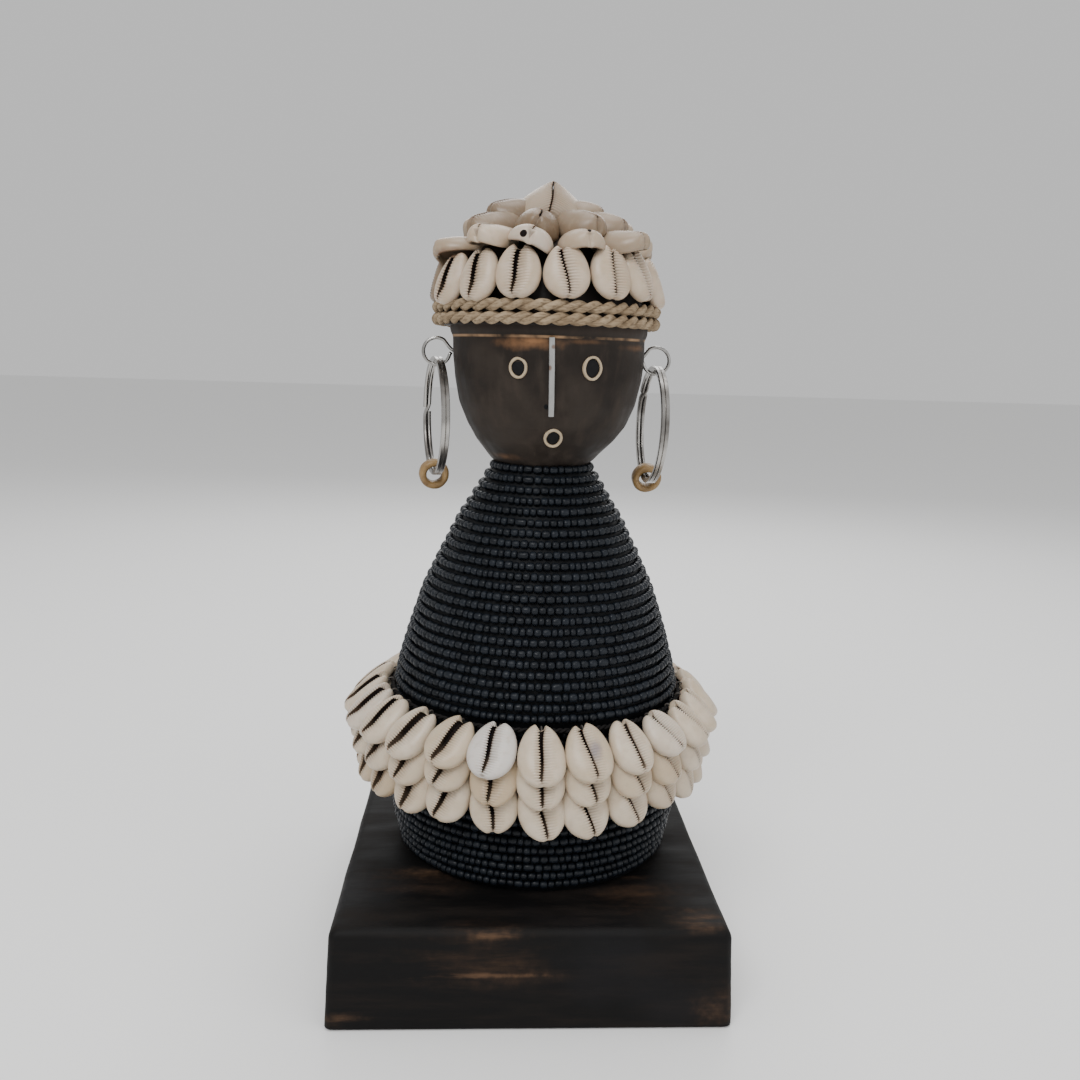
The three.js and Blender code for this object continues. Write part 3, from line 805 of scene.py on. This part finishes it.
    # The roof of the hollow carries full painted shade
    for share in (0.25, 0.5, 0.75):
        roof_z = depth + vault * np.sin(math.pi * share) * swell
        roof.append(extend(np.stack([half * (1 - 2 * share) * scale, along * scale, roof_z], 1), 1))
    roof.append(previous[rows:][::-1])
    for first, second in zip(roof, roof[1:]):
        for row in range(rows - 1):
            faces.append((first[row], second[row], second[row + 1], first[row + 1]))
    points = np.concatenate(total)
    points[:, 2] += bend * np.abs(2 * points[:, 1] / SHELL_LENGTH) ** 3
    return points, faces, np.concatenate(shades)


def cowries(first_seed, count, face, back, **shape):
    """Several cowries of one kind."""
    return [cowrie(first_seed + index, face, back, **shape) for index in range(count)]


CAP_SHAPE = {"bend": 1.7, "bite": (0.8, 1.5), "valley": 0.3, "gape": (0.6, 0.9)}
SKIRT_COWRIES = cowries(100, SHELL_VARIANTS, 3.6, THICK_CUT, gape=(0.85, 1.3))
SIDE_COWRIES = cowries(200, 6, 3.6, THIN_CUT, gape=(0.9, 1.1), serrated=(0.7, 0.42), ribs=19)
CAP_COWRIES = cowries(300, SHELL_VARIANTS, 5.6, THIN_CUT, **CAP_SHAPE)
HIGH_COWRIES = cowries(350, 6, 7.2, THIN_CUT, **CAP_SHAPE)
TOP_COWRIE = cowries(404, 1, 5.0, THIN_CUT, tip=1.0, bend=0.0, valley=0.1, peak=(1.35, 0.95),
                     gape=(0.45, 0.45))


def place_shell(name, shells, ends, azimuth, body, node, material, tint, yaw, size, roll=0.0):
    """Lays a cowrie between its upper and lower ends, each (radius, height), at an azimuth."""
    top = radial_point(azimuth, *ends[0])
    bottom = radial_point(azimuth, *ends[1])
    up = (top - bottom).normalized()
    across = radial_point(azimuth + 90, 1, 0)
    turn = Matrix((across, up, across.cross(up))).transposed()
    turn = turn @ Matrix.Rotation(math.radians(yaw), 3, "Z") @ Matrix.Rotation(math.radians(roll), 3, "Y")
    points, faces, detail = shells[rng.randrange(len(shells))]
    stretch = (top - bottom).length / SHELL_LENGTH
    verts = (points * (size, stretch, size)) @ np.array(turn).T + np.array((top + bottom) / 2)
    detail = detail.copy()
    detail[:, 3] = tint
    add_piece(name, verts, faces, body, [node], material, detail=detail)


def skirt():
    """Every strand: three overlapping shells and the thread that ties them to the waist cord."""
    names = sorted(body for body in frame["bodies"] if body.startswith("skirt_strand_"))
    for strand in names:
        pivot = Vector(JOINTS[f"{strand}_lift"]["pos_m"]) / MM
        azimuth = math.degrees(math.atan2(pivot.x, -pivot.y))
        swing = -SKIRT_SHIFT * math.sin(math.radians(azimuth))
        nearest = min(STRANDS_SEEN, key=lambda seen: abs(seen - azimuth))
        seen = abs(nearest - azimuth) < STRAND_REACH
        rises, yaws, tints = STRANDS_SEEN[nearest] if seen else STRAND_UNSEEN
        for row, (top, bottom) in enumerate(STRAND_ENDS):
            name = f"{strand}_shell_{row + 1}"
            ends = (top, (bottom[0] + swing, bottom[1] + rises[row] + rng.uniform(-0.4, 0.4)))
            lean = azimuth + rng.uniform(-0.5, 0.5)
            chance_yaw = rng.uniform(-4, 4)
            yaw = yaws[row] if yaws else chance_yaw
            tint = tints[row] if tints else rng.uniform(0.45 - 0.2 * row, 0.85)
            place_shell(name, SKIRT_COWRIES, ends, lean, strand, strand, SKIRT_SHELL,
                        roll=rng.uniform(1, 7), yaw=yaw, size=rng.uniform(0.96, 1.0), tint=tint)
        tie(f"{strand}_tie", strand, pivot, azimuth)


def tie(name, strand, pivot, azimuth):
    """A loop of thread round the waist cord that comes out of the notch of the top shell."""
    out = radial_point(azimuth, 1, 0)
    path = [pivot + out * (1.45 + 0.5 * x) * x + Vector((0, 0, 1.5 * z)) for x, z in round_section(1, 20)]
    across = radial_point(azimuth + 90, 1, 0)
    verts, faces = swept(path, round_section(0.3, 8), across, closed=True)
    add_piece(name, verts, faces, strand, [strand], THREAD)


# Each tier of the cap: its shells, how many it has, the (radius, height) of their two ends, the usual
# drop, and the ones seen in front as (azimuth, drop, outer reach, roll, yaw, tint). A drop lowers both
# ends. The rest of a tier is filled evenly. The crown has none in front, where the top shell lies.
CAP_TIERS = {
    "side": (SIDE_COWRIES, 15, (31.8, 230.2), (37.0, 214.0), 0.7, [
        (-61.5, 1.9, 0.6, 3, -10, 0.5), (-39.5, 1.2, 0, -2, -3, 0.6), (-17.4, 0.2, 0, 0, 2, 0.5),
        (6.7, -0.1, 0, 0, 0, 0.7), (30.9, -0.4, 0, 2, -2, 0.75), (50.8, -0.5, 0, 3, 8, 0.6),
        (74, 1.0, 0, 0, 11, 0.6)]),
    "rim": (CAP_COWRIES, 13, (19.0, 234.0), (37.4, 233.0), 2.3, [
        (-97, 4.6, -1.6, -10, 0, 0.3), (-70, 5.2, 1.4, -20, -8, 0.24), (-38.5, 2.2, 0, 6, -4, 0.42),
        (-13.2, 2.8, 0, 19, 4, 0.84), (17.2, 3.3, 0, -2, 0, 0.31), (45.5, 2.5, 2.2, -10, 5, 0.2),
        (80, 2.4, -3.4, -8, 0, 0.3)]),
    "upper": (HIGH_COWRIES, 10, (10.0, 240.4), (28.4, 236.2), 2.3, [
        (-56, 3.2, 1.8, 3, -4, 0.1), (-13, 2.8, -0.2, 17, 3, 0.0), (26, 2.6, 0.8, -6, 10, 0.13),
        (59, 2.1, -1.0, -8, 0, 0.14)]),
    "crown": (HIGH_COWRIES, 4, (3.0, 244.2), (20.4, 240.8), 2.3, [
        (-66, 2.3, 1.0, 4, 0, 0.05), (68, 2.1, -2.4, -8, 4, 0.15)]),
}


def cap_tier(tier):
    """The shells of one tier, the seen ones first."""
    shells, count, top, bottom, usual_drop, seen = CAP_TIERS[tier]
    first, last = seen[0][0] + 360, seen[-1][0]
    hidden = count - len(seen)
    places = list(seen)
    for index in range(hidden):
        azimuth = last + (first - last) * (index + 1) / (hidden + 1)
        drop = usual_drop + rng.uniform(-0.6, 0.6)
        roll = rng.uniform(-9, 9)
        yaw = rng.uniform(-6, 6)
        places.append((azimuth, drop, -0.9, roll, yaw, rng.uniform(0.05, 0.6)))
    for index, (azimuth, drop, reach, roll, yaw, tint) in enumerate(places):
        ends = ((top[0], top[1] - drop), (bottom[0] + reach, bottom[1] - drop))
        place_shell(f"cap_{tier}_{index + 1:02d}", shells, ends, azimuth, "doll", f"cap_{tier}_shells",
                    CAP_SHELL, roll=roll, yaw=yaw, size=rng.uniform(0.92, 0.97), tint=tint)


def cap():
    """Every tier, and the broad shell at the very top."""
    for tier in CAP_TIERS:
        cap_tier(tier)
    place_shell("cap_top", TOP_COWRIE, ((-0.8, 250.5), (14.0, 236.9)), 4, "doll", "cap_top_shell",
                CAP_SHELL, yaw=-6, size=1.4, tint=0.24)


# ---- rope and cords

def yarn_section(radius):
    """The section of a strand laid up from a few yarns."""
    yarns, sides = 5, 20
    section = []
    for side in range(sides):
        angle = 2 * math.pi * side / sides
        reach = radius * (0.93 + 0.11 * abs(math.cos(yarns * angle / 2)))
        section.append((reach * math.cos(angle), reach * math.sin(angle)))
    return section


def twisted_ring(name, radius, height, strand_radius, pitch, node, material, offset, drift=0.0):
    """A cord of two twisted strands bent into a ring, each strand offset from the middle of the cord."""
    turns = round(2 * math.pi * radius / pitch)
    steps = turns * 16
    strands = 2
    verts, faces = [], []
    for strand in range(strands):
        path, sizes = [], []
        for step in range(steps):
            angle = 2 * math.pi * step / steps
            twist = turns * angle + 2 * math.pi * strand / strands
            x, y = math.sin(angle), math.cos(angle)
            wobble = drift * noise.noise(Vector((x * 3, y * 3, height)))
            reach = radius + offset * math.cos(twist) + wobble
            path.append((reach * x, -reach * y, height + offset * math.sin(twist) + wobble))
            sizes.append(1 + 0.1 * noise.noise(Vector((x * 20, y * 20, strand * 5))))
        more, more_faces = swept(path, yarn_section(strand_radius), (0, 0, 1), closed=True, sizes=sizes)
        faces.extend(tuple(len(verts) + index for index in face) for face in more_faces)
        verts.extend(more.tolist())
    add_piece(name, verts, faces, "doll", [node], material)


def cords():
    """The cord at the waist and the two turns of rope below the cap."""
    twisted_ring("waist_cord_twist", WAIST_CORD_RADIUS, WAIST_CORD_Z, 0.48, 4.2,
                 "waist_cord", CORD, offset=0.38)
    for turn, height in ROPE_HEIGHTS.items():
        twisted_ring(f"rope_{turn}", ROPE_RADIUS, height, 1.06, 10.8,
                     f"rope_turn_{turn}", ROPE, offset=0.9, drift=0.25)


# ---- face

def face_frame(azimuth, height, tilt):
    """The point on the head and its across, up and outward directions, tilted down by some degrees."""
    out = radial_point(azimuth, math.cos(math.radians(tilt)), -math.sin(math.radians(tilt)))
    across = radial_point(azimuth + 90, 1, 0)
    place = radial_point(azimuth, radius_at(HEAD_OUTLINE, height), height)
    place.x += head_shift(height)
    return place, across, out.cross(across), out


def face_ring(name, node, feature, tilt, wall):
    """A slightly uneven slice of reed with rounded edges, its section as (share inward, height)."""
    azimuth, height, half_wide, half_high = feature
    place, across, up, out = face_frame(azimuth, height, tilt)
    verts, count = [], 48
    section = [(0, -2), (0, 0.45), (0.12, 0.66), (0.35, 0.75), (0.65, 0.75), (0.88, 0.66), (1, 0.45), (1, -2)]
    for cos, sin in round_section(1, count):
        uneven = 1 + 0.05 * noise.noise(Vector((cos * 1.3, sin * 1.3, azimuth)))
        thick = wall * (1 + 0.3 * noise.noise(Vector((cos, sin, azimuth * 2 + 5))))
        for inward, proud in section:
            rx = half_wide * uneven - thick * inward
            rz = half_high * uneven - thick * inward
            verts.append(place + across * rx * cos + up * rz * sin + out * proud)
    faces = grid_faces(count, len(section), wrap_rows=True, wrap_columns=True)
    add_piece(name, verts, faces, "doll", [node], REED, sharp=60)


def face_plug(name, node, feature, tilt, wall):
    """The dark filling of a ring, a little domed, that reaches just into the ring's wall."""
    azimuth, height, half_wide, half_high = feature
    place, across, up, out = face_frame(azimuth, height, tilt)
    overlap = 0.1
    wide, high = half_wide - wall + overlap, half_high - wall + overlap
    rings = ((1.0, -2.0), (1.0, 0.1), (0.85, 0.2), (0.5, 0.24), (0.1, 0.25))
    verts, count = [], 40
    for share, proud in rings:
        for cos, sin in round_section(1, count):
            verts.append(place + across * wide * share * cos + up * high * share * sin + out * proud)
    faces = grid_faces(len(rings), count, wrap_columns=True) + end_faces(len(rings), count)
    add_piece(name, verts, faces, "doll", [node], PITCH)


def nose():
    """A thin strip with rounded corners that follows the face, leaning a little to one side."""
    path = []
    for height in np.linspace(179.3, 203.0, 28):
        lean = 0.68 - 0.62 * (height - 191) / 24
        path.append((lean, -radius_at(HEAD_OUTLINE, height) - 0.55, height))
    half, deep = 0.86, 1.5
    section = [(-half, -deep), (half, -deep), (half, 0.5), (half * 0.75, 0.72), (0, 0.78),
               (-half * 0.75, 0.72), (-half, 0.5)]
    verts, faces = swept(path, section, (0, -1, 0))
    add_piece("nose_metal_strip", verts, faces, "doll", ["nose_strip"], NOSE, sharp=50)


def face():
    """The eyes, the mouth and the nose."""
    for side, feature in EYES.items():
        face_ring(f"eye_reed_{side}", f"eye_ring_{side}", feature, EYE_TILT, EYE_WALL)
        face_plug(f"eye_pitch_{side}", f"pupil_{side}", feature, EYE_TILT, EYE_WALL)
    face_ring("mouth_reed", "mouth_ring", MOUTH, MOUTH_TILT, MOUTH_WALL)
    face_plug("mouth_pitch", "mouth_plug", MOUTH, MOUTH_TILT, MOUTH_WALL)
    nose()


# ---- earrings

def swing_axis(side):
    """The direction that a hoop turns about."""
    return Vector(JOINTS[f"hoop_{side}_swing"]["axis"]).normalized()


def hoop_centre(side):
    """The middle of a hoop, which its bead slides about."""
    return Vector(JOINTS[f"hoop_bead_{side}_slide"]["pos_m"]) / MM


def ear_shift(side):
    """The step along the swing axis that sets an earring nearer to the head."""
    axis = swing_axis(side)
    return axis * (EAR_SHIFT[side] / axis.x)


def screw_eye(side):
    """A wire bent into an eye that closes against the head, with its shank in the wood."""
    low, high = (Vector(corner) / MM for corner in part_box(f"screw_eye_{side}"))
    inward = Vector((1, 0, 0)) if side == "left" else Vector((-1, 0, 0))
    radius = (high.z - low.z) / 2 - EYE_WIRE_RADIUS
    outer = low.x if side == "left" else high.x
    centre = Vector((outer, 0, (low.z + high.z) / 2)) + inward * (radius + EYE_WIRE_RADIUS) + ear_shift(side)
    rise = Vector((0, 0, 1))
    back = Vector((0, 1, 0))
    shank = ((11, 0, 0), (8, 0, 0), (6, 0.2, 0.2), (4.9, 0.7, 0.35), (4.0, 1.6, 0.42), (3.2, 2.6, 0.45))
    path = [centre + inward * x + rise * z + back * y for x, z, y in shank]
    steps = 36
    for step in range(steps + 1):
        angle = math.radians(58 + 288 * step / steps)
        path.append(centre + (inward * math.cos(angle) + rise * math.sin(angle)) * radius
                    + back * 0.6 * (26.5 - step) / steps)
    path.append(centre + inward * (radius + 0.35) - back * 0.28 - rise * 0.2)
    verts, faces = swept(path, round_section(EYE_WIRE_RADIUS, 12), (0, 1, 0))
    add_piece(f"screw_eye_{side}_wire", verts, faces, "doll", [f"screw_eye_{side}"], WIRE)


def split_ring(side):
    """Two touching coils of flat wire that cross over at a joggle."""
    axis = swing_axis(side)
    back = Vector((0, 0, 1)).cross(axis)
    centre = hoop_centre(side) + ear_shift(side)
    coil, half_joggle, tip = 0.67, math.radians(7), math.radians(2.2)
    cross_over = math.radians(RING_CROSSING[side])
    path, steps = [], 260
    for step in range(steps + 1):
        travelled = tip + (4 * math.pi - 2 * tip) * step / steps
        blend = np.clip((travelled - 2 * math.pi + half_joggle) / (2 * half_joggle), 0, 1)
        shift = coil * (2 * (blend * blend * (3 - 2 * blend)) - 1)
        angle = cross_over - travelled
        lean = RING_LEAN[side] * (1 - math.sin(angle)) / 2
        path.append(centre + axis * float(shift) - back * RING_RADIUS * math.cos(angle)
                    + Vector((-lean, 0, RING_RADIUS * math.sin(angle))))
    half, deep = 0.68, 0.93
    inner = [(-half, -deep * 0.3), (-half * 0.75, -deep * 0.8), (-half * 0.35, -deep)]
    outer = [(half, deep * 0.7), (half * 0.7, deep)]
    section = inner + [(-x, y) for x, y in inner[::-1]] + outer + [(-x, y) for x, y in outer[::-1]]
    ups = [(point - centre - axis * (point - centre).dot(axis)).normalized() for point in path]
    verts, faces = swept(path, section, np.array(ups))
    hoop = f"hoop_{side}"
    add_piece(f"split_ring_{side}", verts, faces, hoop, [hoop], NICKEL, sharp=35)


def hoop_bead(side):
    """A thick ring of ochre glass, a little uneven."""
    low, high = (Vector(corner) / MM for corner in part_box(f"hoop_bead_{side}"))
    axis = swing_axis(side)
    centre = (low + high) / 2
    down = centre - hoop_centre(side)
    down = (down - axis * down.dot(axis)).normalized()
    back = axis.cross(down)
    centre = centre + ear_shift(side)
    middle, thick, half_length = 3.85, 1.27, 2.3
    pattern = 3 if side == "left" else 9
    verts, around, count = [], 48, 20
    for cos, sin in round_section(1, around):
        out = axis * cos - down * sin
        uneven = 0.16 * noise.noise(Vector((cos * 1.5, sin * 1.5, pattern)))
        for x, y in round_section(1, count):
            radial = middle + (thick + uneven) * math.copysign(abs(x) ** 0.8, x)
            along = half_length * math.copysign(abs(y) ** 0.75, y)
            verts.append(centre + out * radial + back * along)
    faces = grid_faces(around, count, wrap_rows=True, wrap_columns=True)
    bead = f"hoop_bead_{side}"
    add_piece(f"ochre_bead_{side}", verts, faces, bead, [bead], OCHRE)


# ---- stage

def camera():
    """The photograph's viewpoint."""
    yaw, pitch, roll = (math.radians(angle) for angle in (CAMERA_YAW, CAMERA_PITCH, CAMERA_ROLL))
    ahead = Vector((math.sin(yaw) * math.cos(pitch), math.cos(yaw) * math.cos(pitch), -math.sin(pitch)))
    level = Vector((math.cos(yaw), -math.sin(yaw), 0))
    right = level * math.cos(roll) - level.cross(ahead) * math.sin(roll)
    data = bpy.data.cameras.new("camera")
    data.lens = CAMERA_LENS
    data.sensor_width = 36
    data.clip_start = 0.01
    made = add_object("camera", data)
    turn = Matrix((right, right.cross(ahead), -ahead)).transposed().to_4x4()
    made.matrix_world = Matrix.Translation(Vector(CAMERA_PLACE) * MM) @ turn
    bpy.context.scene.camera = made


def area_light(name, place, target, size, power):
    """A rectangular light at a place in metres that faces a target."""
    data = bpy.data.lights.new(name, "AREA")
    data.shape = "RECTANGLE"
    data.size, data.size_y = size
    data.energy = power
    made = add_object(name, data)
    made.location = place
    made.rotation_mode = "QUATERNION"
    made.rotation_quaternion = (Vector(target) - Vector(place)).to_track_quat("-Z", "Y")


def stage():
    """A plain pale floor just below the stand, white surroundings and four soft lights."""
    low, high = cad_box
    middle = (low + high) / 2
    half, gap = 6.0, 0.0002
    mesh = bpy.data.meshes.new("floor")
    corners = ((-half, -half), (half, -half), (half, half), (-half, half))
    mesh.from_pydata([(x, y, low.z - gap) for x, y in corners], [], [(0, 1, 2, 3)])
    floor = add_object("floor", mesh)
    paper = Shader("floor_paper", 0.9)
    mesh.materials.append(paper.finish((0.86, 0.86, 0.855)))
    world = bpy.data.worlds.new("studio")
    world.use_nodes = True
    background = world.node_tree.nodes["Background"]
    background.inputs["Color"].default_value = (1, 1, 1, 1)
    background.inputs["Strength"].default_value = 0.68
    bpy.context.scene.world = world
    area_light("key", (-0.30, -0.75, 0.95), middle, (0.6, 0.45), 8)
    area_light("fill", (0.8, -0.6, 0.45), middle, (0.7, 0.7), 2)
    area_light("back", (0.1, 0.8, 0.7), middle, (0.8, 0.5), 4)
    area_light("top", (0.05, 0.05, 1.0), middle, (0.5, 0.5), 3)


camera()
stage()
stand()
figure()
cap_skin_dome()
bead_windings()
skirt()
cap()
cords()
face()
for ear in ("left", "right"):
    screw_eye(ear)
    split_ring(ear)
    hoop_bead(ear)
for screw in ("base_screw_left", "base_screw_right"):
    frame["nodes"][screw].data.materials.clear()
    frame["nodes"][screw].data.materials.append(STEEL)
